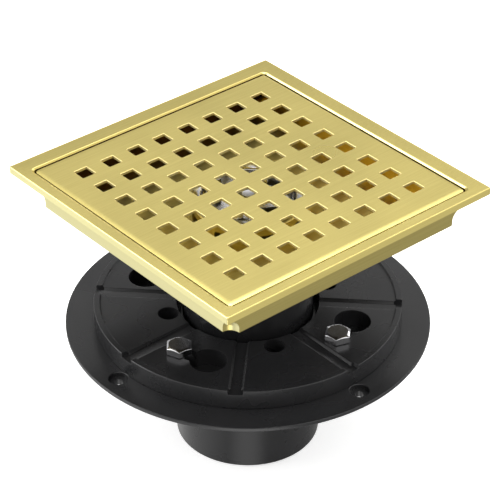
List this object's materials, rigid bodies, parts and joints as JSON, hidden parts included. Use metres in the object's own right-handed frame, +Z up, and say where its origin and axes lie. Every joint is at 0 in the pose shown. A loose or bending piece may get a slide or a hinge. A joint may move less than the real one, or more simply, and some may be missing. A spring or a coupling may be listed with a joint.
{
  "type": "floor drain",
  "caption": "Square shower floor drain: perforated grate in a brushed gold tray, on a threaded riser in a black clamping-ring base for a 2 inch pipe.",
  "frame": {"origin": "centre of the hub's bottom face, on the common vertical axis", "axes": "+Z up along the axis from the hub to the grate; X and Y square to the tray's sides"},
  "size_m": [0.1694, 0.1694, 0.1388],
  "materials": {
    "brushed_gold": "brushed, gold tone",
    "black_abs": "satin moulded",
    "plated_steel": "bright plated",
    "strainer_steel": "bright stamped",
    "brass": "machined",
    "rubber": "matte"
  },
  "bodies": {
    "base": {"base_flange": "black_abs", "thread_insert_1": "brass", "thread_insert_2": "brass", "thread_insert_3": "brass", "thread_insert_4": "brass"},
    "ring": {"clamp_ring": "black_abs"},
    "bolt_1": {"hex_bolt_1": "plated_steel"},
    "bolt_2": {"hex_bolt_2": "plated_steel"},
    "bolt_3": {"hex_bolt_3": "plated_steel"},
    "bolt_4": {"hex_bolt_4": "plated_steel"},
    "seals": {"neck_seal_upper": "rubber", "neck_seal_lower": "rubber"},
    "riser": {"riser_tube": "black_abs"},
    "tray": {"drain_tray": "brushed_gold", "outlet_neck": "brushed_gold"},
    "grate": {"grate": "brushed_gold", "grate_pad_1": "rubber", "grate_pad_2": "rubber", "grate_pad_3": "rubber", "grate_pad_4": "rubber"},
    "strainer": {"strainer_cup": "strainer_steel", "strainer_gasket": "rubber", "strainer_knob": "strainer_steel"}
  },
  "joints": [
    {"name": "ring_turn", "type": "hinge", "parent": "base", "child": "ring", "pos_m": [0, 0, 0.0635], "axis": [0, 0, 1], "range_deg": [-16.9, 0]},
    {"name": "bolt_1_out", "type": "slide", "parent": "base", "child": "bolt_1", "axis": [0, 0, 1], "range_m": [0, 0.028]},
    {"name": "bolt_2_out", "type": "slide", "parent": "base", "child": "bolt_2", "axis": [0, 0, 1], "range_m": [0, 0.028]},
    {"name": "bolt_3_out", "type": "slide", "parent": "base", "child": "bolt_3", "axis": [0, 0, 1], "range_m": [0, 0.028]},
    {"name": "bolt_4_out", "type": "slide", "parent": "base", "child": "bolt_4", "axis": [0, 0, 1], "range_m": [0, 0.028]},
    {"name": "height_adjust", "type": "slide", "parent": "base", "child": "seals", "axis": [0, 0, 1], "range_m": [0, 0.015]},
    {"name": "riser_turn", "type": "hinge", "parent": "seals", "child": "riser", "pos_m": [0, 0, 0.0635], "axis": [0, 0, 1], "range_deg": [0, 2450]},
    {"name": "tray_turn", "type": "hinge", "parent": "seals", "child": "tray", "pos_m": [0, 0, 0.1], "axis": [0, 0, 1], "continuous": true},
    {"name": "grate_lift", "type": "slide", "parent": "tray", "child": "grate", "axis": [0, 0, 1], "range_m": [0, 0.09]},
    {"name": "strainer_lift", "type": "slide", "parent": "tray", "child": "strainer", "axis": [0, 0, 1], "range_m": [0, 0.046]}
  ],
  "couplings": [
    {"joint": "riser_turn", "follows": "height_adjust", "rad_per_m": 2844.4},
    {"joint": "strainer_lift", "follows": "grate_lift", "ratio": 0.5}
  ]
}
